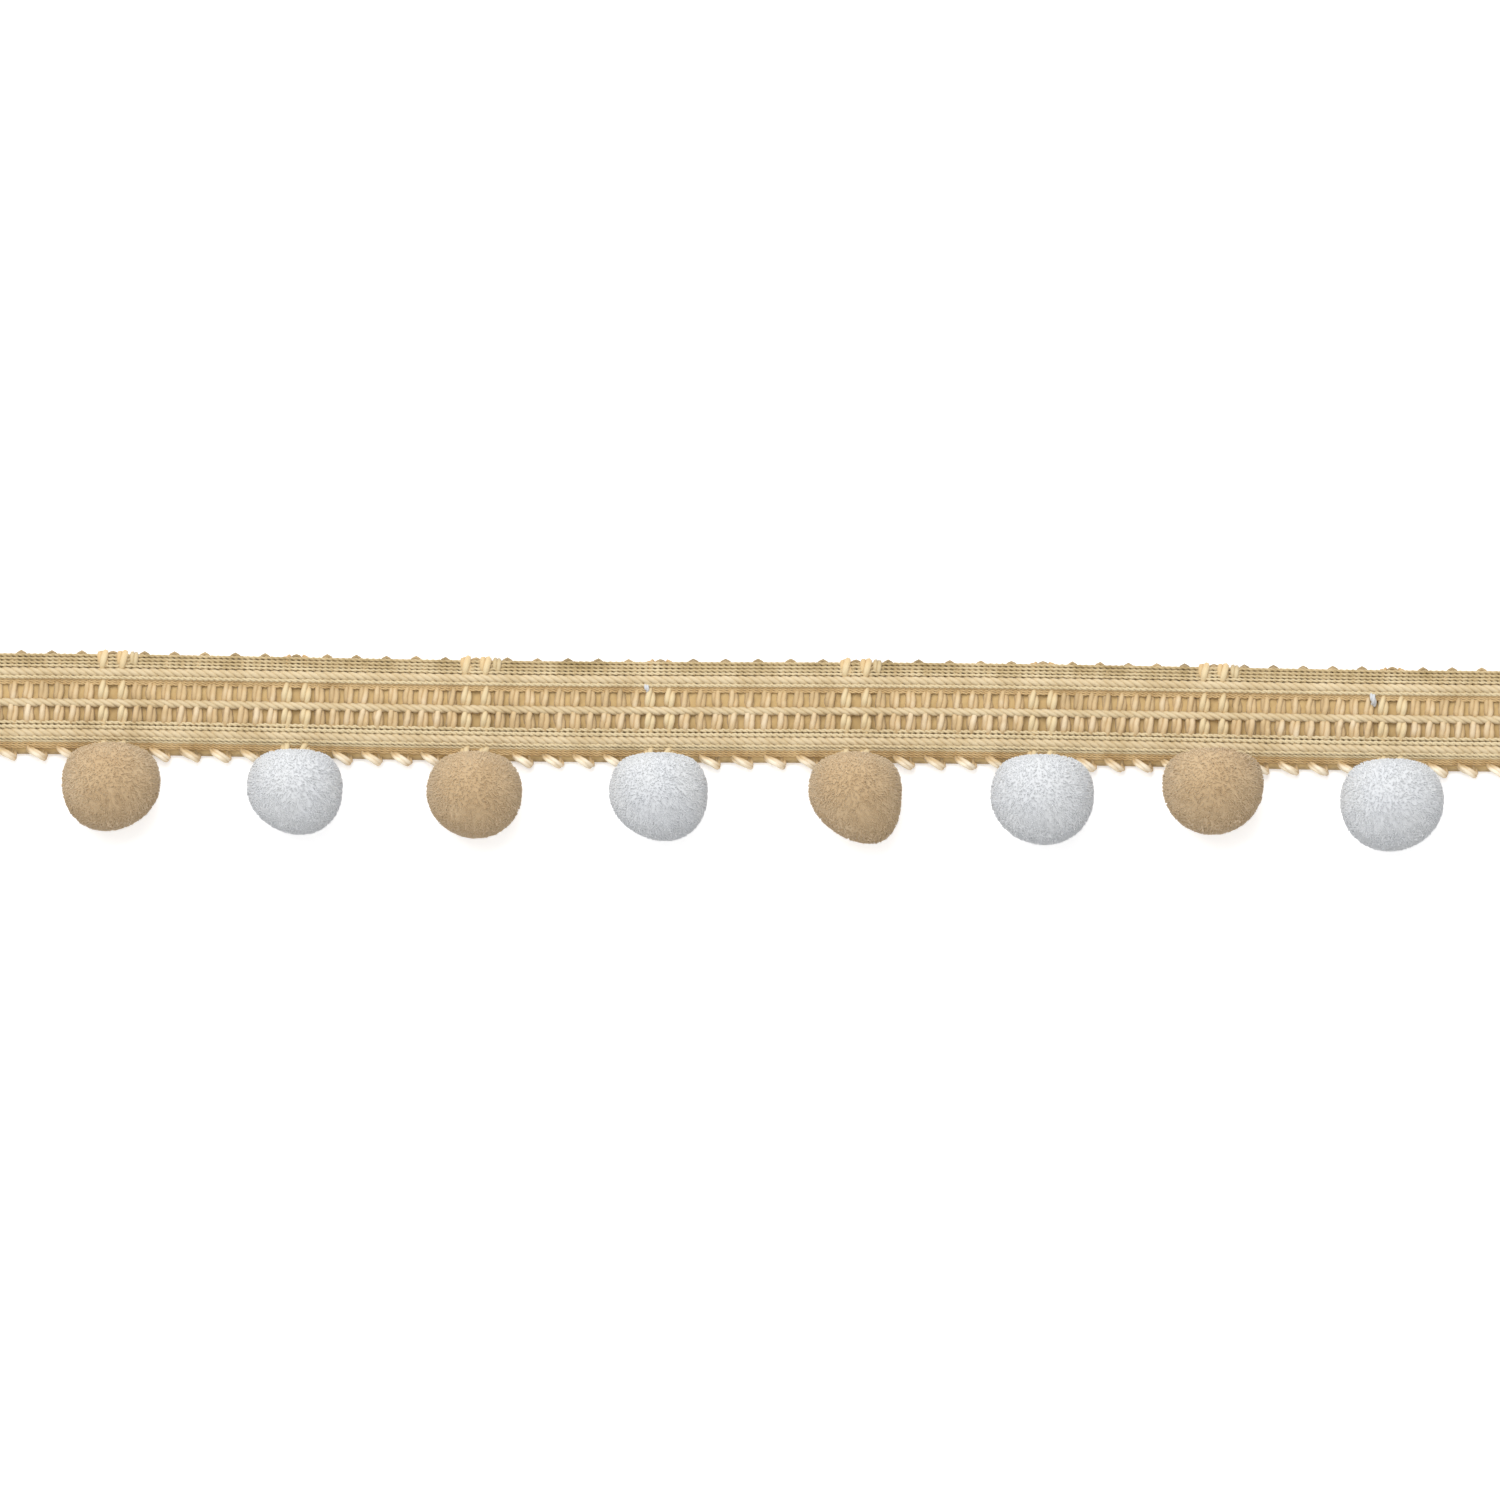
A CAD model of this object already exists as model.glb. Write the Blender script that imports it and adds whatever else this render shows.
"""Pompom fringe trim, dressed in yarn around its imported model.

Everything is in metres, in the row frame: X along the trim, +Y towards the plain looped edge, +Z out of the
face. The trim lies on its back on the floor. Places across the heading are given in millimetres from the
selvedge line, the straight line that the plain edge's loops stand on.
"""

from __future__ import annotations

import logging
import math
import random
from dataclasses import dataclass, field
from enum import Enum

import bmesh
import bpy
import numpy as np
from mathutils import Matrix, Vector, noise

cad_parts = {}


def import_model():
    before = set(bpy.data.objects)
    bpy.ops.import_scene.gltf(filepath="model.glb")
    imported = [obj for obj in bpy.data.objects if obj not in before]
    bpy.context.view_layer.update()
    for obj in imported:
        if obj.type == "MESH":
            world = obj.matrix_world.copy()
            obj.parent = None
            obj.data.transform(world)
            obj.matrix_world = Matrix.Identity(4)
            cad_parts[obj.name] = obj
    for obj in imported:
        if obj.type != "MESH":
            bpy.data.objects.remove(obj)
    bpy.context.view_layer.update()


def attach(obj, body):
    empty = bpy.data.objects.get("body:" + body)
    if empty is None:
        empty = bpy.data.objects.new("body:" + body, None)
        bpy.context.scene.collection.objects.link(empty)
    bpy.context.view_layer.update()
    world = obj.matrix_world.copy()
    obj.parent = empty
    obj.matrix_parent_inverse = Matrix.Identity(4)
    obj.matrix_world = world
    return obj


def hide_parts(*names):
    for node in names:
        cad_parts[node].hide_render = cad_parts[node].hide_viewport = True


log = logging.getLogger("pompom_fringe_trim")

MM = 0.001

# The photograph's frame: a pixel is a tenth of a millimetre
PHOTO_SIDE_PX = 1500
PX_PER_MM = 10.0
PHOTO_SIDE = PHOTO_SIDE_PX / PX_PER_MM * MM

# The trim's own lines
SELVEDGE_Y = 8.9 * MM
HALF_LENGTH = 77.6 * MM
LOOPS = 51
RIBS_PER_LOOP = 2
LOOPS_PER_POMPOM = 6
FIRST_TIE_LOOP = 4.5
WANDER = 0.12 * MM
WANDER_LENGTH = 88 * MM

# Carries heights in the pile to its finish, from 0 at the roots to 1 at the tips
PILE_ATTRIBUTE = "pile_height"

# Points of a tube's caps that are this near its end, in metres, are welded to it
WELD_DISTANCE = 1e-7


class YarnShade(Enum):
    """The two yarns that the pompoms are cut from."""

    BEIGE = "beige"
    WHITE = "white"


class Side(Enum):
    """The heading's two long edges."""

    PLAIN = "plain"
    POMPOM = "pompom"


def linear(hex_color: str) -> tuple[float, float, float, float]:
    """Turns an sRGB colour into the linear values that shaders take.

    Args:
        hex_color: Six hexadecimal digits, with or without a leading hash.

    Returns:
        Red, green, blue and an alpha of 1.
    """
    digits = hex_color.lstrip("#")
    parts = [int(digits[i : i + 2], 16) / 255 for i in (0, 2, 4)]
    red, green, blue = (p / 12.92 if p <= 0.04045 else ((p + 0.055) / 1.055) ** 2.4 for p in parts)
    return red, green, blue, 1.0


def add_node(
    tree: bpy.types.NodeTree,
    kind: str,
    settings: dict[str, object] | None = None,
    inputs: dict[str | int, object] | None = None,
    links: dict[str | int, bpy.types.NodeSocket] | None = None,
) -> bpy.types.Node:
    """Adds a node to a tree, sets it and links it to nodes made before.

    Args:
        tree: The material's or the world's node tree.
        kind: The node's type name.
        settings: Values of the node's own properties.
        inputs: Values of its input sockets, by name, or by number where names repeat.
        links: Output sockets that feed its input sockets, likewise.

    Returns:
        The new node.
    """
    node = tree.nodes.new(kind)
    for name, value in (settings or {}).items():
        setattr(node, name, value)
    for key, value in (inputs or {}).items():
        node.inputs[key].default_value = value
    for key, socket in (links or {}).items():
        tree.links.new(socket, node.inputs[key])
    return node


def ramp_between(
    tree: bpy.types.NodeTree, factor: bpy.types.NodeSocket, stops: list[tuple[float, str]]
) -> bpy.types.Node:
    """Adds a colour ramp.

    Args:
        tree: The material's node tree.
        factor: What drives the ramp.
        stops: Places from 0 to 1 with their sRGB hex colours.

    Returns:
        The ramp's node.
    """
    ramp = add_node(tree, "ShaderNodeValToRGB", links={"Fac": factor})
    elements = ramp.color_ramp.elements
    while len(elements) < len(stops):
        elements.new(1.0)
    for element, (place, color) in zip(elements, stops):
        element.position = place
        element.color = linear(color)
    return ramp


def new_material(name: str) -> tuple[bpy.types.Material, bpy.types.NodeTree]:
    """Makes an empty material.

    Args:
        name: The real material's name.

    Returns:
        The material and its node tree.
    """
    material = bpy.data.materials.new(name)
    material.use_nodes = True
    material.node_tree.nodes.clear()
    return material, material.node_tree


def close_material(tree: bpy.types.NodeTree, shader: bpy.types.Node) -> None:
    """Links a shader to the material's output."""
    add_node(tree, "ShaderNodeOutputMaterial", links={"Surface": shader.outputs[0]})


@dataclass(frozen=True)
class SpunYarn:
    """Spun viscose and cotton yarn.

    It has a soft lustre, fine fibres that show as a slight roughness, and a colour that deepens to gold low
    in the weave, where light reaches it only through other yarns. Heights and lengths are in millimetres.

    Attributes:
        name: The real material's name.
        slot: The record's material slot.
        deep: Its colour at `deep_height`, low in the weave.
        middle: Its colour halfway.
        light: Its colour at `light_height`, on top.
        unevenness: How far blotches `blotch_mm` wide shift the colour between those.
        edge_lift: How much paler it is past `edge_to` than before `edge_from`, towards the pompoms.
        fibre_mm: Width of the fibres that roughen it, which stand `relief_mm` proud.
    """

    name: str
    slot: str
    deep: str
    middle: str
    light: str
    deep_height: float
    light_height: float
    roughness: float = 0.62
    sheen: float = 0.25
    unevenness: float = 0.7
    edge_lift: float = 0.0
    edge_from: float = -0.6
    edge_to: float = -1.0
    blotch_mm: float = 2.6
    fibre_mm: float = 0.09
    relief_mm: float = 0.035

    def build(self) -> bpy.types.Material:
        """Mixes the finish.

        Returns:
            The finished material.
        """
        material, tree = new_material(self.name)
        place = add_node(tree, "ShaderNodeTexCoord").outputs["Object"]
        parts = add_node(tree, "ShaderNodeSeparateXYZ", links={"Vector": place})
        height = add_node(
            tree,
            "ShaderNodeMapRange",
            inputs={"From Min": self.deep_height * MM, "From Max": self.light_height * MM},
            links={"Value": parts.outputs["Z"]},
        )
        blotch = add_node(
            tree,
            "ShaderNodeTexNoise",
            inputs={"Scale": 1 / (self.blotch_mm * MM), "Detail": 3.0, "Roughness": 0.6},
            links={"Vector": place},
        )
        uneven = add_node(
            tree,
            "ShaderNodeMath",
            {"operation": "MULTIPLY_ADD"},
            {1: self.unevenness, 2: -self.unevenness / 2},
            {0: blotch.outputs["Fac"]},
        )
        edge_start, edge_end = self.edge_from * MM, self.edge_to * MM
        edge = add_node(
            tree,
            "ShaderNodeMapRange",
            inputs={"From Min": edge_start, "From Max": edge_end, "To Max": self.edge_lift},
            links={"Value": parts.outputs["Y"]},
        )
        lifted = add_node(
            tree,
            "ShaderNodeMath",
            {"operation": "ADD"},
            links={0: height.outputs["Result"], 1: edge.outputs["Result"]},
        )
        shade = add_node(
            tree,
            "ShaderNodeMath",
            {"operation": "ADD", "use_clamp": True},
            links={0: lifted.outputs[0], 1: uneven.outputs[0]},
        )
        stops = [(0.0, self.deep), (0.5, self.middle), (1.0, self.light)]
        color = ramp_between(tree, shade.outputs[0], stops)
        fibres = add_node(
            tree,
            "ShaderNodeTexNoise",
            inputs={"Scale": 1 / (self.fibre_mm * MM), "Detail": 2.0},
            links={"Vector": place},
        )
        bump = add_node(
            tree,
            "ShaderNodeBump",
            inputs={"Strength": 0.6, "Distance": self.relief_mm * MM},
            links={"Height": fibres.outputs["Fac"]},
        )
        shader = add_node(
            tree,
            "ShaderNodeBsdfPrincipled",
            inputs={
                "Roughness": self.roughness,
                "Sheen Weight": self.sheen,
                "Sheen Roughness": 0.5,
                "Specular IOR Level": 0.3,
            },
            links={"Base Color": color.outputs["Color"], "Normal": bump.outputs["Normal"]},
        )
        close_material(tree, shader)
        return material


@dataclass(frozen=True)
class CutPile:
    """Cut yarn ends, sheared to a ball.

    They are matte and soft, darker between the ends, with slight blotches where the yarns lean different
    ways.

    Attributes:
        name: The real material's name.
        slot: The record's material slot.
        root: The colour between the ends.
        tip_low: The darkest colour of the cut ends.
        tip_high: Their palest colour.
        blotch_mm: Width of the blotches, in millimetres.
    """

    name: str
    slot: str
    root: str
    tip_low: str
    tip_high: str
    roughness: float = 0.9
    sheen: float = 0.35
    blotch_mm: float = 3.2

    def build(self) -> bpy.types.Material:
        """Mixes the finish.

        Returns:
            The finished material.
        """
        material, tree = new_material(self.name)
        place = add_node(tree, "ShaderNodeTexCoord").outputs["Object"]
        blotch = add_node(
            tree,
            "ShaderNodeTexNoise",
            inputs={"Scale": 1 / (self.blotch_mm * MM), "Detail": 3.0, "Roughness": 0.55},
            links={"Vector": place},
        )
        tips = ramp_between(tree, blotch.outputs["Fac"], [(0.3, self.tip_low), (0.7, self.tip_high)])
        depth = add_node(tree, "ShaderNodeAttribute", {"attribute_name": PILE_ATTRIBUTE})
        color = add_node(
            tree,
            "ShaderNodeMix",
            {"data_type": "RGBA"},
            {6: linear(self.root)},
            {0: depth.outputs["Fac"], 7: tips.outputs["Color"]},
        )
        shader = add_node(
            tree,
            "ShaderNodeBsdfPrincipled",
            inputs={
                "Roughness": self.roughness,
                "Sheen Weight": self.sheen,
                "Sheen Roughness": 0.6,
                "Specular IOR Level": 0.15,
            },
            links={"Base Color": color.outputs[2]},
        )
        close_material(tree, shader)
        return material


# Weft and edge loops: cream over gold
WEFT_YARN = SpunYarn(
    "cream_weft_viscose", "heading_yarn", "#8c7753", "#cfb386", "#f9edd6", 0.3, 2.6, edge_lift=0.30
)
# Lengthwise cords: twisted cotton, the palest yarn of the heading
CORD_YARN = SpunYarn(
    "pale_cord_cotton", "heading_yarn", "#b49b6c", "#c7b189", "#d6c39f", 0.9, 1.9, unevenness=1.4
)
# Fine warps between the cords: old gold, with viscose's soft lustre
WARP_YARN = SpunYarn(
    "gold_warp_viscose", "heading_yarn", "#967342", "#b99967", "#cfb281", 0.6, 1.4, unevenness=1.5
)
# The warps along the plain edge and beside the third cord: paler than the gold ones, duller than the cords
EDGE_YARN = SpunYarn(
    "straw_edge_cotton", "heading_yarn", "#9d8658", "#bfa97e", "#d6c49e", 0.6, 1.5, unevenness=1.5
)
# The cloth under the wefts, seen only between them: matt gold cotton
GROUND_YARN = SpunYarn(
    "gold_ground_cotton", "heading_yarn", "#9a7b4a", "#bb9d68", "#c9ac77", 0.1, 1.0, unevenness=1.0
)
# Ties: cream like the weft, a little brighter
TIE_YARN = SpunYarn("cream_tie_cotton", "tie_yarn", "#bf9b68", "#d3b787", "#dcc89f", 0.7, 1.8)
# Sheared acrylic knitting yarn: no lustre, a soft bloom where the light grazes it
BEIGE_PILE = CutPile("beige_cut_acrylic", "pompom_beige", "#b89c76", "#c6ad88", "#d2bc99")
WHITE_PILE = CutPile("white_cut_acrylic", "pompom_white", "#cbcdd0", "#dbdde0", "#e2e3e3")
PILES = {YarnShade.BEIGE: BEIGE_PILE, YarnShade.WHITE: WHITE_PILE}


@dataclass(frozen=True)
class FloorPanel:
    """Matt white acrylic of a light table.

    It is nearly even, with no gloss, and lit softly from below, so that the shadows on it stay faint.
    """

    name: str = "matt_light_table"
    low: str = "#f4f4f4"
    high: str = "#fafafa"
    blotch_mm: float = 90.0
    roughness: float = 0.95
    glow: float = 0.32

    def build(self) -> bpy.types.Material:
        """Mixes the finish.

        Returns:
            The finished material.
        """
        material, tree = new_material(self.name)
        place = add_node(tree, "ShaderNodeTexCoord").outputs["Object"]
        blotch = add_node(
            tree, "ShaderNodeTexNoise", inputs={"Scale": 1 / (self.blotch_mm * MM)}, links={"Vector": place}
        )
        color = ramp_between(tree, blotch.outputs["Fac"], [(0.3, self.low), (0.7, self.high)])
        shader = add_node(
            tree,
            "ShaderNodeBsdfPrincipled",
            inputs={
                "Roughness": self.roughness,
                "Specular IOR Level": 0.1,
                "Emission Color": linear("#ffffff"),
                "Emission Strength": self.glow,
            },
            links={"Base Color": color.outputs["Color"]},
        )
        close_material(tree, shader)
        return material


def wander(x: float) -> float:
    """Returns how far the heading strays from a straight line at a place along it."""
    return WANDER * math.sin(2 * math.pi * x / WANDER_LENGTH)


def place_across(across: float, x: float) -> float:
    """Returns Y at so many millimetres from the selvedge line, for a place x along the trim."""
    return SELVEDGE_Y - across * MM + wander(x)


def link_piece(
    name: str, mesh: bpy.types.Mesh, material: bpy.types.Material
) -> bpy.types.Object:
    """Puts a finished mesh in the scene as a piece of the trim.

    Args:
        name: The piece's name.
        mesh: Its mesh, already in place.
        material: Its finish.

    Returns:
        The piece, riding on the trim's one body.
    """
    mesh.materials.clear()
    mesh.materials.append(material)
    piece = bpy.data.objects.new(name, mesh)
    bpy.context.scene.collection.objects.link(piece)
    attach(piece, "root")
    log.info("%s: %d faces", name, len(mesh.polygons))
    return piece


def smooth_route(points: np.ndarray, spacing: float) -> np.ndarray:
    """Runs a Catmull-Rom curve through points, which may carry more values after x, y and z.

    Args:
        points: One row for each point that the curve passes.
        spacing: The greatest distance between the points returned.

    Returns:
        The curve's points, one row each, with every value interpolated.
    """
    padded = np.vstack([2 * points[0] - points[1], points, 2 * points[-1] - points[-2]])
    made = []
    for before, start, end, after in zip(padded, padded[1:], padded[2:], padded[3:]):
        steps = max(1, math.ceil(np.linalg.norm((end - start)[:3]) / spacing))
        t = (np.arange(steps) / steps)[:, None]
        slope_in, slope_out = (end - before) / 2, (after - start) / 2
        made.append(
            (2 * t**3 - 3 * t**2 + 1) * start
            + (t**3 - 2 * t**2 + t) * slope_in
            + (3 * t**2 - 2 * t**3) * end
            + (t**3 - t**2) * slope_out
        )
    return np.vstack([*made, points[-1:]])


def carried_frames(route: np.ndarray) -> tuple[np.ndarray, np.ndarray]:
    """Carries a side direction along a route without turning it about the route.

    Args:
        route: The route's points.

    Returns:
        At each point, two unit vectors square to the route and to each other.
    """
    tangents = np.gradient(route, axis=0)
    tangents /= np.linalg.norm(tangents, axis=1, keepdims=True)
    side = np.cross(tangents[0], (0.0, 0.0, 1.0))
    sides = np.empty_like(route)
    for i, tangent in enumerate(tangents):
        side = side - tangent * side.dot(tangent)
        side /= np.linalg.norm(side)
        sides[i] = side
    return sides, np.cross(tangents, sides)


@dataclass
class PliedYarn:
    """A yarn of a few strands twisted together, drawn as round tubes.

    Attributes:
        plies: How many strands are twisted together.
        ply_radius: Radius of one strand, in millimetres.
        spread: Distance of a strand's middle from the yarn's, in millimetres.
        twist: Length of one full turn of the twist, in millimetres.
    """

    plies: int
    ply_radius: float
    spread: float
    twist: float

    def routes(self, route: np.ndarray) -> list[np.ndarray]:
        """Winds the strands round the yarn's route.

        Args:
            route: Rows of x, y, z in metres and girth, 1 for the yarn's own size.

        Returns:
            One array like it for each strand.
        """
        middle, girth = route[:, :3], route[:, 3:4]
        sides, others = carried_frames(middle)
        steps = np.linalg.norm(np.diff(middle, axis=0), axis=1)
        turned = np.concatenate([[0.0], np.cumsum(steps)]) * 2 * math.pi / (self.twist * MM)
        made = []
        for ply in range(self.plies):
            angle = (turned + 2 * math.pi * ply / self.plies)[:, None]
            offset = (np.cos(angle) * sides + np.sin(angle) * others) * self.spread * MM * girth
            made.append(np.hstack([middle + offset, girth]))
        return made

    def mesh(self, name: str, yarns: list[np.ndarray]) -> bpy.types.Mesh:
        """Draws yarns as one mesh of tubes.

        Args:
            name: The mesh's name.
            yarns: Each yarn's route, as `routes` takes it.

        Returns:
            The mesh, with its tubes closed.
        """
        curve = bpy.data.curves.new(name, "CURVE")
        curve.dimensions = "3D"
        curve.bevel_depth = self.ply_radius * MM
        curve.bevel_resolution = 1
        curve.use_fill_caps = True
        for strand in (ply for yarn in yarns for ply in self.routes(yarn)):
            spline = curve.splines.new("POLY")
            spline.points.add(len(strand) - 1)
            places = np.hstack([strand[:, :3], np.ones((len(strand), 1))])
            spline.points.foreach_set("co", places.ravel())
            spline.points.foreach_set("radius", strand[:, 3].copy())
        return mesh_of_curve(curve)


def mesh_of(bm: bmesh.types.BMesh, name: str) -> bpy.types.Mesh:
    """Writes a bmesh to a new mesh.

    Args:
        bm: The bmesh, which is freed.
        name: The mesh's name.

    Returns:
        The mesh.
    """
    mesh = bpy.data.meshes.new(name)
    bm.to_mesh(mesh)
    bm.free()
    return mesh


def mesh_of_curve(curve: bpy.types.Curve) -> bpy.types.Mesh:
    """Turns a curve into a closed, smooth mesh and removes the curve.

    Args:
        curve: A curve with a bevel and filled caps.

    Returns:
        Its mesh, with the caps welded on.
    """
    name = curve.name
    holder = bpy.data.objects.new(name, curve)
    bpy.context.scene.collection.objects.link(holder)
    graph = bpy.context.evaluated_depsgraph_get()
    mesh = bpy.data.meshes.new_from_object(holder.evaluated_get(graph))
    bpy.data.objects.remove(holder)
    bpy.data.curves.remove(curve)
    bm = bmesh.new()
    bm.from_mesh(mesh)
    bmesh.ops.remove_doubles(bm, verts=bm.verts, dist=WELD_DISTANCE)
    bmesh.ops.recalc_face_normals(bm, faces=bm.faces)
    bm.to_mesh(mesh)
    bm.free()
    mesh.name = name
    mesh.shade_smooth()
    return mesh


@dataclass
class Pompom:
    """One ball of cut yarn, given in millimetres.

    Attributes:
        number: Its place along the trim, from 1.
        shade: Its yarn.
        along: X of its middle.
        hang: Distance of its middle from the selvedge line.
        width: Half its width.
        drop: From its middle to its lower end.
        top: From its middle to its upper end, where it presses on the heading.
        droop: How far its lower end leans along the trim.
        seat_share: Height of its middle above the floor, as a share of `width`.
        gap: How far its slanted face stays clear of the heading's looped edge.
        foot_across: From the selvedge line to that edge, whose height is `foot_height`.
        lean: Tilt of the slanted face from upright, in radians.
        soft_limit: How sharply its faces meet.
        core_share: How far out the core reaches, with `root_share` for the roots of the cut ends.
        core_height: Where the core's colour lies, from 0 for the roots to 1 for the tips.
        jitter: How unevenly the cut ends are spread, with `tilt` for how far they lean, in radians.
        uneven: How short they may be, singly by `end_play`, in lumps `lump_mm` wide by `lump_play`.
        off_axis: Turns each cut end about its own length.
    """

    number: int
    shade: YarnShade
    along: float
    hang: float
    width: float
    drop: float
    top: float
    droop: float
    seat_share: float = 0.91
    gap: float = 0.3
    foot_across: float = 10.85
    foot_height: float = 1.0
    lean: float = math.radians(30)
    soft_limit: float = 9.0
    core_share: float = 0.945
    root_share: float = 0.84
    ends: int = 7200
    end_sides: int = 3
    end_radius: float = 0.079
    end_taper: float = 0.7
    core_height: float = 0.45
    jitter: float = 0.014
    tilt: float = 0.026
    uneven: float = 0.03
    end_play: float = 0.8
    lump_play: float = 0.7
    lump_mm: float = 1.5
    off_axis: float = 0.1

    @property
    def middle(self) -> Vector:
        """Its middle, in metres."""
        return Vector((self.along * MM, SELVEDGE_Y - self.hang * MM, self.seat_share * self.width * MM))

    @property
    def lean_normal(self) -> Vector:
        """The direction in which the heading's edge presses on it."""
        return Vector((0.0, math.cos(self.lean), -math.sin(self.lean)))

    @property
    def lean_distance(self) -> float:
        """Measures how near the heading's edge comes.

        Returns:
            From its middle to the slanted plane that keeps it clear of that edge, in metres.
        """
        across = (self.hang - self.foot_across - self.gap) * MM
        height = (self.foot_height + self.gap) * MM - self.middle.z
        return Vector((0.0, across, height)).dot(self.lean_normal)

    def reach(self, ways: np.ndarray) -> np.ndarray:
        """Measures the ball in many directions at once.

        Args:
            ways: Unit directions from its middle, one row each.

        Returns:
            The distance to its outside in each, in metres, before it is set down on the floor.
        """
        ends = np.where(ways[:, 1] < 0, self.drop, self.width) * MM
        half = self.width * MM
        sides = np.stack([ways[:, 0] / half, ways[:, 1] / ends, ways[:, 2] / half])
        limits = np.stack(
            [
                np.linalg.norm(sides, axis=0),
                np.maximum(0.0, ways @ np.array(self.lean_normal)) / self.lean_distance,
                np.maximum(0.0, ways[:, 1]) / (self.top * MM),
            ]
        )
        return (limits**self.soft_limit).sum(axis=0) ** (-1 / self.soft_limit)

    def placed(self, ways: np.ndarray, shares: np.ndarray) -> np.ndarray:
        """Places points in the ball.

        Args:
            ways: Unit directions from its middle.
            shares: How far out each point is, 1 on the outside.

        Returns:
            The points in the row frame, none below the floor.
        """
        offsets = ways * (self.reach(ways) * shares)[:, None]
        floor = -self.middle.z
        low = offsets[:, 2] < floor
        offsets[low] *= (floor / offsets[low, 2])[:, None]
        below = np.maximum(0.0, -offsets[:, 1]) / (self.drop * MM)
        offsets[:, 0] += self.droop * MM * below**2
        return offsets + np.array(self.middle)

    def core(self) -> bpy.types.Mesh:
        """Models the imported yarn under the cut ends.

        Returns:
            Its mesh, a little inside the ball's outside.
        """
        bm = bmesh.new()
        bmesh.ops.create_icosphere(bm, subdivisions=4, radius=1.0)
        ways = np.array([vert.co.normalized() for vert in bm.verts])
        for vert, place in zip(bm.verts, self.placed(ways, np.full(len(ways), self.core_share))):
            vert.co = place
        return mesh_of(bm, "core")

    def cut_ends(self) -> bpy.types.Mesh:
        """Models the cut ends of the yarns.

        Returns:
            A mesh of short fibres, the root ring first in each, spread evenly over the ball.
        """
        bm = bmesh.new()
        bmesh.ops.create_cone(
            bm, cap_ends=True, segments=self.end_sides, radius1=1.0, radius2=self.end_taper, depth=1.0
        )
        shape = np.array([vert.co for vert in bm.verts])
        faces = [[vert.index for vert in face.verts] for face in bm.faces]
        bm.free()
        draw = np.random.default_rng(self.number)
        index = np.arange(self.ends) + 0.5
        rise = 1 - 2 * index / self.ends
        turn = math.pi * (1 + math.sqrt(5)) * index
        flat = np.sqrt(1 - rise**2)
        ways = np.stack([flat * np.cos(turn), flat * np.sin(turn), rise], axis=1)
        ways += draw.normal(0.0, self.jitter, ways.shape)
        ways /= np.linalg.norm(ways, axis=1, keepdims=True)
        leans = ways + draw.normal(0.0, self.tilt, ways.shape)
        leans /= np.linalg.norm(leans, axis=1, keepdims=True)
        lumps = np.array([noise.noise(Vector(way) * self.width / self.lump_mm) for way in ways])
        short = self.end_play * draw.random(self.ends) + self.lump_play * np.abs(lumps)
        lengths = 1 - self.uneven * short
        roots = self.placed(ways, np.full(self.ends, self.root_share))
        tips = self.placed(leans, lengths)
        axes = tips - roots
        axes /= np.linalg.norm(axes, axis=1, keepdims=True)
        sides = np.cross(axes, np.roll(axes, 1, axis=1) + self.off_axis)
        sides /= np.linalg.norm(sides, axis=1, keepdims=True)
        others = np.cross(axes, sides)
        rise_share = shape[:, 2] + 0.5
        rings = sides[:, None] * shape[None, :, :1] + others[:, None] * shape[None, :, 1:2]
        verts = (
            roots[:, None] * (1 - rise_share)[None, :, None]
            + tips[:, None] * rise_share[None, :, None]
            + self.end_radius * MM * rings
        )
        verts[:, :, 2] = np.maximum(verts[:, :, 2], 0.0)
        starts = np.arange(self.ends) * len(shape)
        all_faces = [[start + i for i in face] for start in starts.tolist() for face in faces]
        mesh = bpy.data.meshes.new("cut_ends")
        mesh.from_pydata(verts.reshape(-1, 3).tolist(), [], all_faces)
        return mesh

    def build(self, material: bpy.types.Material) -> bpy.types.Object:
        """Joins the core and the cut ends.

        Args:
            material: Its yarn's finish.

        Returns:
            The finished ball, in the place of its solid.
        """
        core, ends = self.core(), self.cut_ends()
        inner = len(core.vertices)
        bm = bmesh.new()
        bm.from_mesh(core)
        bm.from_mesh(ends)
        mesh = mesh_of(bm, f"pompom_{self.number}_pile")
        bpy.data.meshes.remove(core)
        bpy.data.meshes.remove(ends)
        heights = np.full(len(mesh.vertices), self.core_height)
        heights[inner:] = np.tile(np.repeat([0.0, 1.0], self.end_sides), self.ends)
        layer = mesh.attributes.new(PILE_ATTRIBUTE, "FLOAT", "POINT")
        layer.data.foreach_set("value", heights)
        mesh.shade_smooth()
        piece = link_piece(mesh.name, mesh, material)
        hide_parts(f"pompom_{self.number}")
        return piece


POMPOMS = (
    Pompom(1, YarnShade.BEIGE, -63.8, 12.58, 5.02, 4.98, 4.7, -0.55),
    Pompom(2, YarnShade.WHITE, -45.45, 12.93, 4.88, 4.80, 4.2, 0.60),
    Pompom(3, YarnShade.BEIGE, -27.5, 13.19, 4.85, 4.72, 4.8, 0.20),
    Pompom(4, YarnShade.WHITE, -9.1, 12.99, 5.03, 4.98, 4.3, 0.65),
    Pompom(5, YarnShade.BEIGE, 10.55, 12.58, 4.75, 5.45, 4.7, 1.45),
    Pompom(6, YarnShade.WHITE, 29.25, 12.88, 5.27, 5.08, 4.4, 0.20),
    Pompom(7, YarnShade.BEIGE, 46.3, 11.65, 5.15, 5.12, 4.6, -0.10),
    Pompom(8, YarnShade.WHITE, 64.2, 13.11, 5.27, 5.14, 4.7, -0.30),
)


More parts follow.
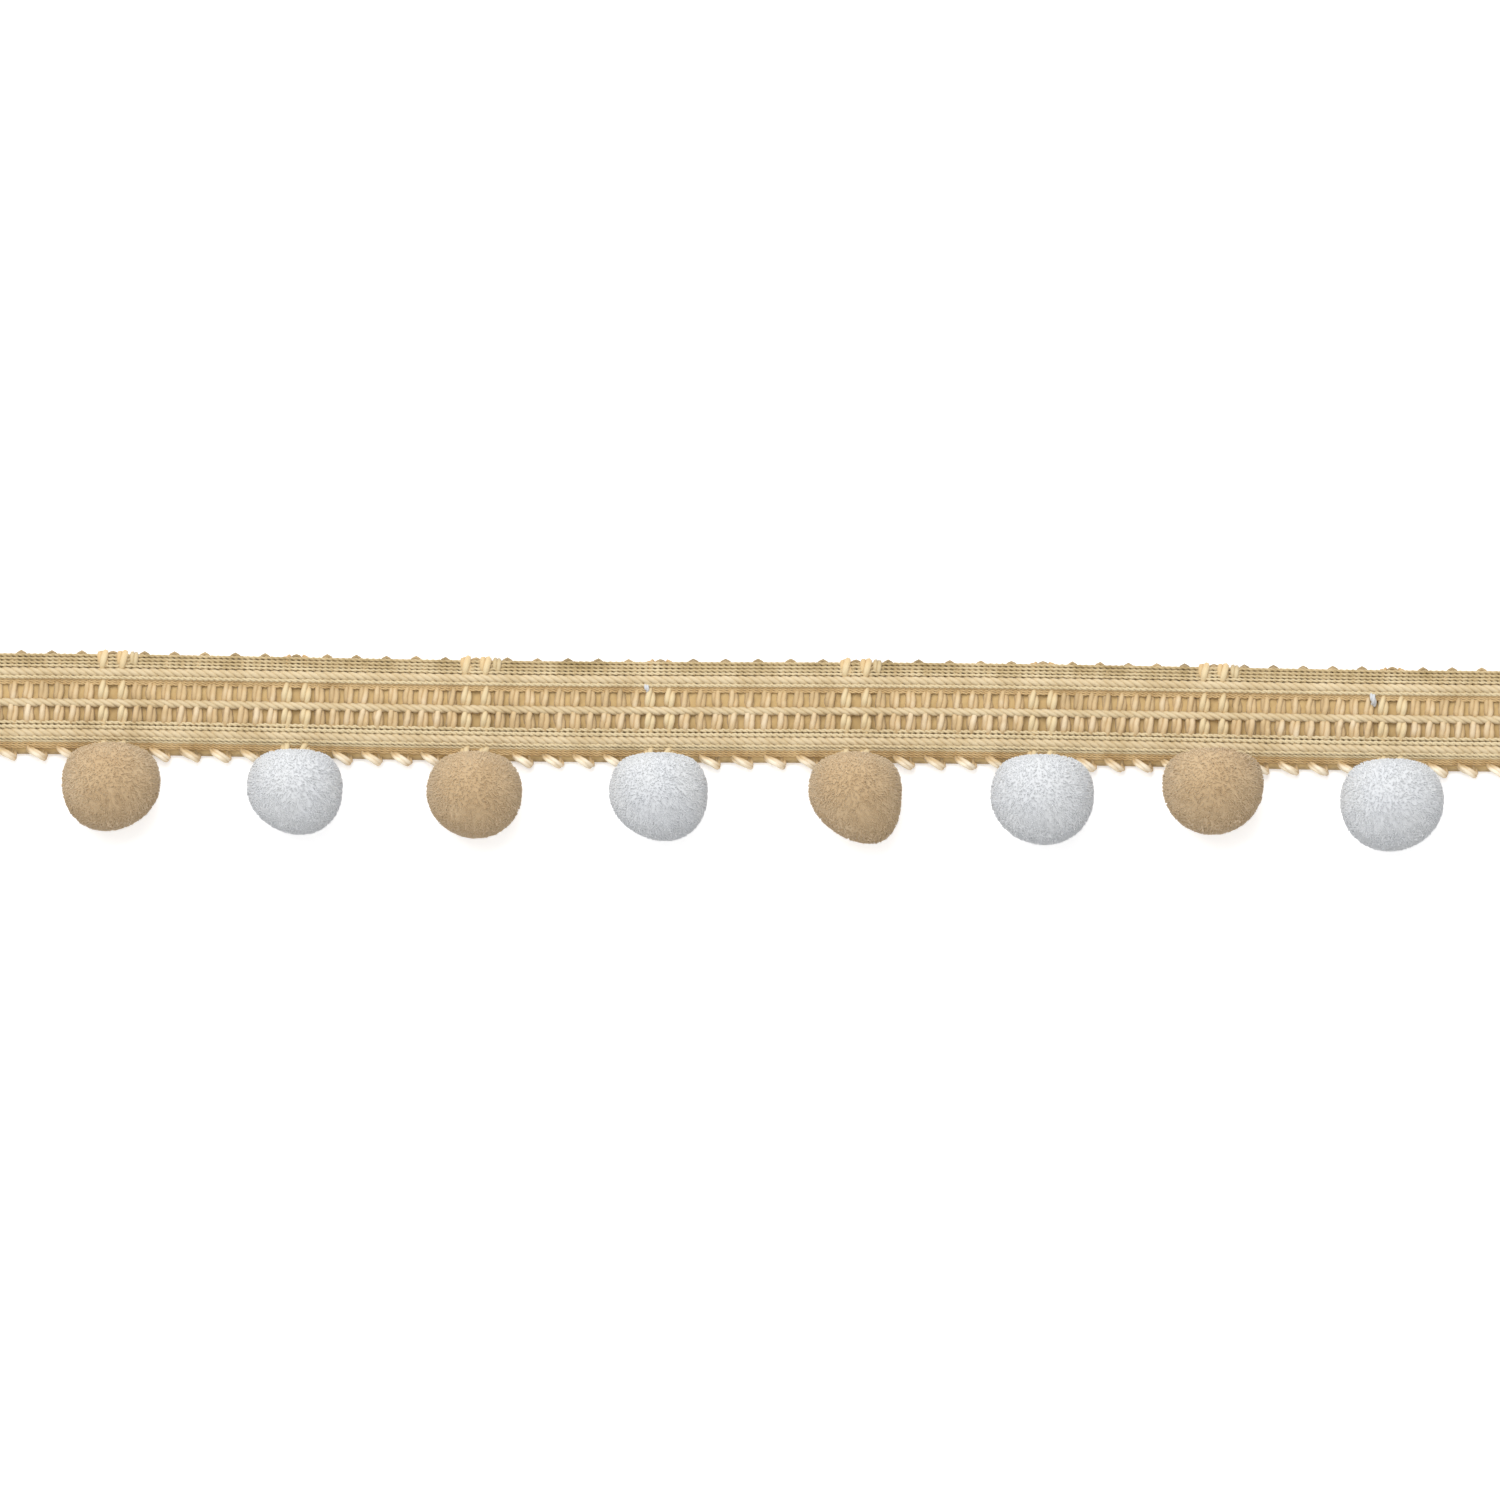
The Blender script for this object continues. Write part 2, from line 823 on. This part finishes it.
def place_along(loops: float | np.ndarray) -> np.ndarray:
    """Turns a count of edge loops into a place along the trim.

    Each pompom's tie sits in the middle of every sixth loop, and the loops between share the room evenly.

    Args:
        loops: Loops from the left end.

    Returns:
        X, in metres.
    """
    ties = [FIRST_TIE_LOOP + LOOPS_PER_POMPOM * i for i in range(len(POMPOMS))]
    knots = [0.0, *ties, float(LOOPS)]
    places = [-HALF_LENGTH, *(pompom.along * MM for pompom in POMPOMS), HALF_LENGTH]
    return np.interp(loops, knots, places)


def tie_swell(x: float, reach: float) -> float:
    """Returns 1 in the middle of a tie, falling smoothly to 0 over a reach in metres."""
    nearest = min(abs(x - pompom.along * MM) for pompom in POMPOMS)
    return math.exp(-((nearest / reach) ** 2))


@dataclass(frozen=True)
class Bend:
    """One place where a yarn that crosses the heading bends, in millimetres, with its girth there."""

    across: float
    height: float
    girth: float

    def at(self, x: float) -> list[float]:
        """Returns x, y, z and girth of a yarn that crosses at x."""
        return [x, place_across(self.across, x), self.height * MM, self.girth]


# How a weft crosses the heading, from the plain edge to the pompoms
WEFT_BENDS = (
    Bend(0.62, 0.66, 0.70),
    Bend(1.10, 0.72, 0.76),
    Bend(1.70, 0.70, 0.76),
    Bend(2.50, 0.76, 0.85),
    Bend(3.10, 0.96, 0.98),
    Bend(3.68, 1.03, 1.08),
    Bend(4.22, 1.02, 1.06),
    Bend(4.68, 0.84, 0.90),
    Bend(5.20, 1.16, 1.06),
    Bend(5.80, 1.16, 1.14),
    Bend(6.35, 1.08, 1.14),
    Bend(7.10, 0.80, 0.84),
    Bend(7.70, 0.68, 0.76),
    Bend(8.40, 0.76, 0.74),
    Bend(8.95, 0.72, 0.62),
)

# How the weft turns at each edge: share of the room between its ribs, place across, height and girth. At
# the pompoms' edge it slants down over the face and comes back up behind, so the edge looks roped.
TURNS = {
    Side.PLAIN: ((0.22, 0.26, 0.46, 0.64), (0.50, -0.10, 0.42, 0.72), (0.78, 0.26, 0.46, 0.64)),
    Side.POMPOM: (
        (0.04, 9.40, 0.94, 0.62),
        (0.26, 9.66, 1.34, 0.76),
        (0.62, 9.96, 1.42, 0.80),
        (0.96, 10.26, 1.10, 0.76),
        (1.12, 10.28, 0.66, 0.64),
        (1.10, 9.88, 0.46, 0.58),
    ),
}

# How each half of a tie crosses it, on top of the weft that it lies in line with. A beige pompom's tie
# wraps the plain edge, a white one's passes under the warps there.
TIE_BENDS_AT_EDGE = {
    YarnShade.BEIGE: (Bend(-0.08, 0.80, 1.16), Bend(0.34, 1.08, 1.24), Bend(0.92, 1.20, 1.14)),
    YarnShade.WHITE: (Bend(0.20, 0.62, 0.70), Bend(0.60, 0.74, 0.70), Bend(1.05, 0.84, 0.72)),
}
TIE_BENDS = (
    Bend(1.68, 0.92, 0.72),
    Bend(2.46, 1.06, 0.88),
    Bend(3.05, 1.22, 1.02),
    Bend(3.66, 1.36, 1.12),
    Bend(4.22, 1.20, 1.00),
    Bend(4.66, 0.98, 0.78),
    Bend(5.15, 1.20, 0.98),
    Bend(5.80, 1.42, 1.14),
    Bend(6.45, 1.22, 1.00),
    Bend(7.10, 1.04, 0.84),
    Bend(7.70, 0.92, 0.72),
    Bend(8.25, 0.98, 1.05),
    Bend(8.85, 1.18, 1.15),
)

# How a tie turns behind the plain edge: share of the room between its halves, place across, height, girth
TIE_TURN = (
    (-0.46, -0.02, 0.50, 0.80),
    (-0.30, 0.45, 0.40, 0.70),
    (0.30, 0.45, 0.40, 0.70),
    (0.46, -0.02, 0.50, 0.80),
)

# How the dull yarn beside a beige pompom's tie wraps the plain edge
EDGE_WRAP = (
    Bend(0.55, 0.50, 0.70),
    Bend(-0.06, 0.66, 0.86),
    Bend(0.36, 1.02, 0.92),
    Bend(1.00, 0.90, 0.74),
)


@dataclass(frozen=True)
class Lengthwise:
    """A yarn that runs the length of the heading and rises by `swell` over a tie, in millimetres."""

    name: str
    across: float
    height: float
    swell: float
    girth: float = 1.0


@dataclass
class Heading:
    """The woven heading: a thin ground, a weft that turns at both edges, three cords and fine warps.

    Lengths are in millimetres.

    Attributes:
        weft: The yarn of the ribs and of the wraps at the plain edge.
        warp_weave: How far the warps rise and fall over the ribs.
        swell_reach: How near to a tie the cords and warps are lifted over it.
        spacing: The greatest distance between the points of a route.
        sway: How far a rib strays along the trim, with `height_play` and `girth_play` for the rest.
        seed: Starts the draws for that.
        low_height: Height of a rib under a tie, where its girth is `low_girth`.
        parting: How far a tie pushes ribs aside, fading over `parting_reach`.
        ground_from: Where the ground starts across the heading, ending at `ground_to`.
        ground_low: Height of its underside.
        ground_relief: How far its threads rise and fall.
        ground_rise: How much higher it is under the ribs, `ribs_reach` to each side of `ribs_middle`.
        ground_edge_drop: How much lower it is along its edges.
        wrap_offset: From a beige pompom's tie to the wrap beside it.
    """

    weft: PliedYarn = field(default_factory=lambda: PliedYarn(3, 0.28, 0.25, 11.0))
    cord: PliedYarn = field(default_factory=lambda: PliedYarn(3, 0.22, 0.19, 2.6))
    warp: PliedYarn = field(default_factory=lambda: PliedYarn(2, 0.10, 0.08, 1.2))
    cords: tuple[Lengthwise, ...] = (
        Lengthwise("first", 1.73, 1.26, 0.20, 1.20),
        Lengthwise("second", 4.80, 1.28, 0.18, 1.12),
        Lengthwise("third", 7.82, 1.26, 0.20, 1.28),
    )
    warps: tuple[Lengthwise, ...] = (
        Lengthwise("channel", 2.42, 1.24, 0.2),
        Lengthwise("channel", 2.64, 1.18, 0.2),
        Lengthwise("channel", 2.86, 1.12, 0.2),
        Lengthwise("band", 8.80, 1.14, 0.2),
        Lengthwise("band", 9.04, 1.06, 0.2),
        Lengthwise("band", 9.26, 0.96, 0.2),
    )
    edge_warps: tuple[Lengthwise, ...] = (
        Lengthwise("edge", 0.06, 0.84, 0.15, 1.1),
        Lengthwise("edge", 0.41, 0.93, 0.2, 1.15),
        Lengthwise("edge", 0.77, 1.00, 0.25, 1.15),
        Lengthwise("edge", 1.10, 1.18, 0.25, 1.05),
        Lengthwise("under first", 2.24, 1.44, 0.2, 1.3),
        Lengthwise("above third", 6.77, 1.28, 0.2, 1.3),
        Lengthwise("above third", 7.20, 1.46, 0.2, 1.4),
        Lengthwise("under third", 8.30, 1.44, 0.2, 1.3),
        Lengthwise("under third", 8.60, 1.26, 0.2, 1.15),
    )
    warp_weave: float = 0.05
    swell_reach: float = 1.8
    spacing: float = 0.30
    sway: float = 0.05
    height_play: float = 0.03
    girth_play: float = 0.04
    seed: int = 11
    low_height: float = 0.42
    low_girth: float = 0.55
    parting: float = 0.30
    parting_reach: float = 2.0
    ground_columns_per_rib: int = 3
    ground_rows: int = 16
    ground_from: float = -0.08
    ground_to: float = 9.98
    ground_low: float = 0.14
    ground_thickness: float = 0.70
    ground_relief: float = 0.05
    ground_rise: float = 0.16
    ground_edge_drop: float = 0.36
    ribs_middle: float = 4.8
    ribs_reach: float = 1.9
    wrap_offset: float = 2.1

    def rib_x(self, rib: int) -> float:
        """Places a rib, a little away from a tie that parts it from the next.

        Args:
            rib: Which rib, from the left end.

        Returns:
            X, in metres.
        """
        x = float(place_along((rib + 0.5) / RIBS_PER_LOOP))
        pompom = min(POMPOMS, key=lambda p: abs(p.along * MM - x))
        away = x - pompom.along * MM
        push = self.parting * MM * math.exp(-abs(away) / (self.parting_reach * MM))
        return x + math.copysign(push, away)

    def is_tied(self, rib: int) -> bool:
        """Whether a tie lies in line with this rib, which then runs low under it."""
        loops = rib // RIBS_PER_LOOP + 0.5
        return (loops - FIRST_TIE_LOOP) % LOOPS_PER_POMPOM == 0

    def rib_points(self, rib: int, chance: random.Random) -> list[list[float]]:
        """Lays one weft across the heading.

        Args:
            rib: Which weft, from the left end.
            chance: Draws its small unevenness.

        Returns:
            Rows of x, y, z and girth, from the plain edge to the pompoms.
        """
        x = self.rib_x(rib)
        low = self.is_tied(rib)
        points = []
        for bend in WEFT_BENDS:
            sway = chance.uniform(-self.sway, self.sway) * MM
            height, girth = self.low_height, self.low_girth
            if not low:
                height = bend.height + chance.uniform(-self.height_play, self.height_play)
                girth = bend.girth * chance.uniform(1 - self.girth_play, 1 + self.girth_play)
            points.append([x + sway, place_across(bend.across, x), height * MM, girth])
        return points

    def turn_points(self, start: float, end: float, side: Side) -> list[list[float]]:
        """Turns the weft round at one edge.

        Args:
            start: X of the rib that it leaves.
            end: X of the rib that it enters.
            side: Which edge it turns at.

        Returns:
            Rows of x, y, z and girth for the loop.
        """
        room = end - start
        return [
            [start + share * room, place_across(across, start), height * MM, girth]
            for share, across, height, girth in TURNS[side]
        ]

    def weft_route(self) -> np.ndarray:
        """Follows the one weft through all its ribs and turns.

        Returns:
            Its route, as `PliedYarn.mesh` takes it.
        """
        chance = random.Random(self.seed)
        ribs = LOOPS * RIBS_PER_LOOP
        points: list[list[float]] = []
        for rib in range(ribs):
            downward = rib % RIBS_PER_LOOP == 1
            crossing = self.rib_points(rib, chance)
            points += crossing if downward else crossing[::-1]
            if rib + 1 < ribs:
                side = Side.POMPOM if downward else Side.PLAIN
                points += self.turn_points(self.rib_x(rib), self.rib_x(rib + 1), side)
        return smooth_route(np.array(points), self.spacing * MM)

    def lengthwise_route(self, line: Lengthwise, weave: float = 0.0) -> np.ndarray:
        """Lays a cord or a warp along the heading.

        Args:
            line: Where it runs.
            weave: How far it rises and falls over the wefts, in millimetres.

        Returns:
            Its route.
        """
        count = math.ceil(2 * HALF_LENGTH / (self.spacing * MM))
        rows = []
        for x in np.linspace(-HALF_LENGTH, HALF_LENGTH, count + 1):
            over = math.cos(2 * math.pi * RIBS_PER_LOOP * LOOPS * (x / HALF_LENGTH + 1) / 2)
            height = line.height + line.swell * tie_swell(x, self.swell_reach * MM) + weave * over
            rows.append([x, place_across(line.across, x), height * MM, line.girth])
        return np.array(rows)

    def build_ground(self, material: bpy.types.Material) -> bpy.types.Object:
        """Weaves the thin cloth under the wefts.

        Args:
            material: Its finish.

        Returns:
            The cloth, a closed sheet that is thinner along its edges.
        """
        columns = self.ground_columns_per_rib * LOOPS * RIBS_PER_LOOP
        rows = self.ground_rows
        bm = bmesh.new()
        bmesh.ops.create_grid(bm, x_segments=columns, y_segments=rows, size=1.0)
        for vert in bm.verts:
            column = round((vert.co.x + 1) / 2 * columns)
            row = round((1 - vert.co.y) / 2 * rows)
            x = vert.co.x * HALF_LENGTH
            across = self.ground_from + (self.ground_to - self.ground_from) * row / rows
            under_ribs = math.exp(-(((across - self.ribs_middle) / self.ribs_reach) ** 4))
            top = self.ground_low + self.ground_thickness + self.ground_rise * under_ribs
            top += self.ground_relief * (1 if (column + row) % 2 else -1)
            if row in (0, rows):
                top -= self.ground_edge_drop
            vert.co = Vector((x, place_across(across, x), top * MM))
        bmesh.ops.recalc_face_normals(bm, faces=bm.faces)
        if sum(face.normal.z for face in bm.faces) < 0:
            bmesh.ops.reverse_faces(bm, faces=bm.faces)
        bmesh.ops.solidify(bm, geom=bm.faces[:], thickness=self.ground_thickness * MM)
        bmesh.ops.recalc_face_normals(bm, faces=bm.faces)
        for vert in bm.verts:
            vert.co.z = max(vert.co.z, self.ground_low * MM)
        mesh = mesh_of(bm, "header_ground")
        mesh.shade_smooth()
        return link_piece(mesh.name, mesh, material)

    def wrap_routes(self) -> list[np.ndarray]:
        """Lays the dull yarn that wraps the plain edge beside each beige pompom's tie.

        Returns:
            One route for each.
        """
        routes = []
        for pompom in POMPOMS:
            if pompom.shade is YarnShade.BEIGE:
                x = (pompom.along + self.wrap_offset) * MM
                points = np.array([bend.at(x) for bend in EDGE_WRAP])
                routes.append(smooth_route(points, self.spacing * MM))
        return routes

    def build(self) -> list[bpy.types.Object]:
        """Builds the heading.

        Returns:
            Its ground first, then the yarns on it.
        """
        ground = self.build_ground(GROUND_YARN.build())
        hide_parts("header")
        weft_mesh = self.weft.mesh("header_weft", [self.weft_route()])
        pieces = [ground, link_piece("header_weft", weft_mesh, WEFT_YARN.build())]
        cord_finish = CORD_YARN.build()
        for line in self.cords:
            name = f"header_cord_{line.name}"
            mesh = self.cord.mesh(name, [self.lengthwise_route(line)])
            pieces.append(link_piece(name, mesh, cord_finish))
        warp_finish, edge_finish = WARP_YARN.build(), EDGE_YARN.build()
        for name, finish, slot, lines in (
            ("header_warps", warp_finish, WARP_YARN.slot, self.warps),
            ("header_edge_warps", edge_finish, EDGE_YARN.slot, self.edge_warps),
        ):
            routes = [self.lengthwise_route(line, self.warp_weave) for line in lines]
            pieces.append(link_piece(name, self.warp.mesh(name, routes), finish))
        name = "header_edge_wraps"
        mesh = self.weft.mesh(name, self.wrap_routes())
        pieces.append(link_piece(name, mesh, edge_finish))
        return pieces


@dataclass
class Tie:
    """The doubled yarn that is woven in over two ribs and holds one pompom.

    Attributes:
        spacing: The greatest distance between the points of its route, in millimetres.
        end_share: How far out in the ball it ends, with a girth of `end_girth`.
        end_room: How far apart its halves stay there, as a share of their room in the heading.
    """

    pompom: Pompom
    yarn: PliedYarn = field(default_factory=lambda: PliedYarn(3, 0.28, 0.26, 7.0))
    spacing: float = 0.25
    end_share: float = 0.6
    end_girth: float = 0.9
    end_room: float = 0.6

    def half(self, x: float) -> list[list[float]]:
        """Lays one half of the tie from the plain edge into the ball.

        Args:
            x: Where it crosses the heading, in metres.

        Returns:
            Rows of x, y, z and girth.
        """
        pompom = self.pompom
        points = [bend.at(x) for bend in (*TIE_BENDS_AT_EDGE[pompom.shade], *TIE_BENDS)]
        aside = (x - pompom.along * MM) * self.end_room
        for share in (1.0, self.end_share):
            place = pompom.middle + pompom.lean_normal * pompom.lean_distance * share
            points.append([place.x + aside, place.y, place.z, self.end_girth])
        return points

    def build(self, heading: Heading, material: bpy.types.Material) -> bpy.types.Object:
        """Builds the tie along the two ribs that it lies over.

        Args:
            heading: The heading that it is woven into.
            material: Its finish.

        Returns:
            The tie, in the place of its solid.
        """
        loop = int(FIRST_TIE_LOOP) + LOOPS_PER_POMPOM * (self.pompom.number - 1)
        first = loop * RIBS_PER_LOOP
        left, right = heading.rib_x(first), heading.rib_x(first + 1)
        middle, room = (left + right) / 2, right - left
        bow = [
            [middle + share * room, place_across(across, middle), height * MM, girth]
            for share, across, height, girth in TIE_TURN
        ]
        route = smooth_route(
            np.array([*self.half(left)[::-1], *bow, *self.half(right)]), self.spacing * MM
        )
        name = f"tie_{self.pompom.number}_yarn"
        piece = link_piece(name, self.yarn.mesh(name, [route]), material)
        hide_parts(f"tie_{self.pompom.number}")
        return piece


@dataclass(frozen=True)
class StrayThread:
    """A short length of a white pompom's yarn that shows on the heading's face, in millimetres."""

    along: float
    across: float
    length: float
    girth: float


@dataclass
class StrayThreads:
    """The white threads that surface beside two of the ties."""

    threads: tuple[StrayThread, ...] = (
        StrayThread(-10.5, 2.10, 0.75, 1.0),
        StrayThread(62.15, 2.15, 1.25, 1.15),
    )
    yarn: PliedYarn = field(default_factory=lambda: PliedYarn(3, 0.14, 0.13, 2.5))
    spacing: float = 0.12
    drift: float = 0.22
    heights: tuple[float, ...] = (1.10, 1.62, 1.66, 1.10)

    def build(self, material: bpy.types.Material) -> bpy.types.Object:
        """Builds the threads as one piece.

        Args:
            material: The white pompoms' finish.

        Returns:
            The threads.
        """
        routes = []
        for thread in self.threads:
            points = []
            for share, height in zip(np.linspace(0, 1, len(self.heights)), self.heights):
                x = (thread.along + self.drift * share) * MM
                y = place_across(thread.across + thread.length * share, x)
                points.append([x, y, height * MM, thread.girth])
            routes.append(smooth_route(np.array(points), self.spacing * MM))
        name = "header_stray_white"
        return link_piece(name, self.yarn.mesh(name, routes), material)


@dataclass
class Studio:
    """The floor, the light and the camera straight above."""

    floor_half: float = 4.5
    camera_height: float = 3.0
    aim_height: float = 2.0 * MM
    aim_y: float = 0.2 * MM
    roll: float = math.radians(0.61)
    sensor: float = 36.0
    clip: tuple[float, float] = (0.1, 20.0)
    key_place: tuple[float, float, float] = (-0.5, 1.25, 1.9)
    key_side: float = 1.8
    key_power: float = 37.0
    fill_strength: float = 0.83

    def build_floor(self) -> bpy.types.Object:
        """Lays the floor.

        Returns:
            The floor, marked as part of the studio.
        """
        bm = bmesh.new()
        bmesh.ops.create_grid(bm, x_segments=2, y_segments=2, size=self.floor_half)
        mesh = mesh_of(bm, "floor")
        mesh.materials.append(FloorPanel().build())
        floor = bpy.data.objects.new("floor", mesh)
        bpy.context.scene.collection.objects.link(floor)
        return floor

    def build_camera(self) -> None:
        """Hangs a long-lens camera over the trim, turned to match its slope in the photograph."""
        data = bpy.data.cameras.new("camera")
        data.sensor_width = self.sensor
        data.lens = self.sensor * (self.camera_height - self.aim_height) / PHOTO_SIDE
        data.clip_start, data.clip_end = self.clip
        camera = bpy.data.objects.new("camera", data)
        camera.location = (0.0, self.aim_y, self.camera_height)
        camera.rotation_euler = (0.0, 0.0, self.roll)
        bpy.context.scene.collection.objects.link(camera)
        bpy.context.scene.camera = camera

    def build_light(self) -> None:
        """Sets one broad soft light above the plain edge, to the left, and an even fill all round."""
        data = bpy.data.lights.new("key", "AREA")
        data.shape = "SQUARE"
        data.size = self.key_side
        data.energy = self.key_power
        key = bpy.data.objects.new("key", data)
        place = Vector(self.key_place)
        key.location = place
        key.rotation_euler = (-place).to_track_quat("-Z", "Y").to_euler()
        bpy.context.scene.collection.objects.link(key)
        world = bpy.data.worlds.new("studio")
        world.use_nodes = True
        world.node_tree.nodes.clear()
        fill = add_node(
            world.node_tree,
            "ShaderNodeBackground",
            inputs={"Color": linear("#ffffff"), "Strength": self.fill_strength},
        )
        add_node(world.node_tree, "ShaderNodeOutputWorld", links={"Surface": fill.outputs[0]})
        bpy.context.scene.world = world

    def build(self) -> bpy.types.Object:
        """Sets the studio up.

        Returns:
            Its floor, which the trim rests on.
        """
        self.build_camera()
        self.build_light()
        bpy.context.scene.view_settings.view_transform = "Standard"
        return self.build_floor()


def main() -> None:
    """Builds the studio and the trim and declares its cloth."""
    logging.basicConfig(level=logging.INFO, format="%(name)s %(message)s")
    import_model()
    floor = Studio().build()
    heading = Heading()
    ground, *on_heading = heading.build()
    tie_finish = TIE_YARN.build()
    pile_finishes = {shade: pile.build() for shade, pile in PILES.items()}
    for pompom in POMPOMS:
        on_heading.append(pompom.build(pile_finishes[pompom.shade]))
        on_heading.append(Tie(pompom).build(heading, tie_finish))
    on_heading.append(StrayThreads().build(pile_finishes[YarnShade.WHITE]))


if __name__ == "__main__":
    main()
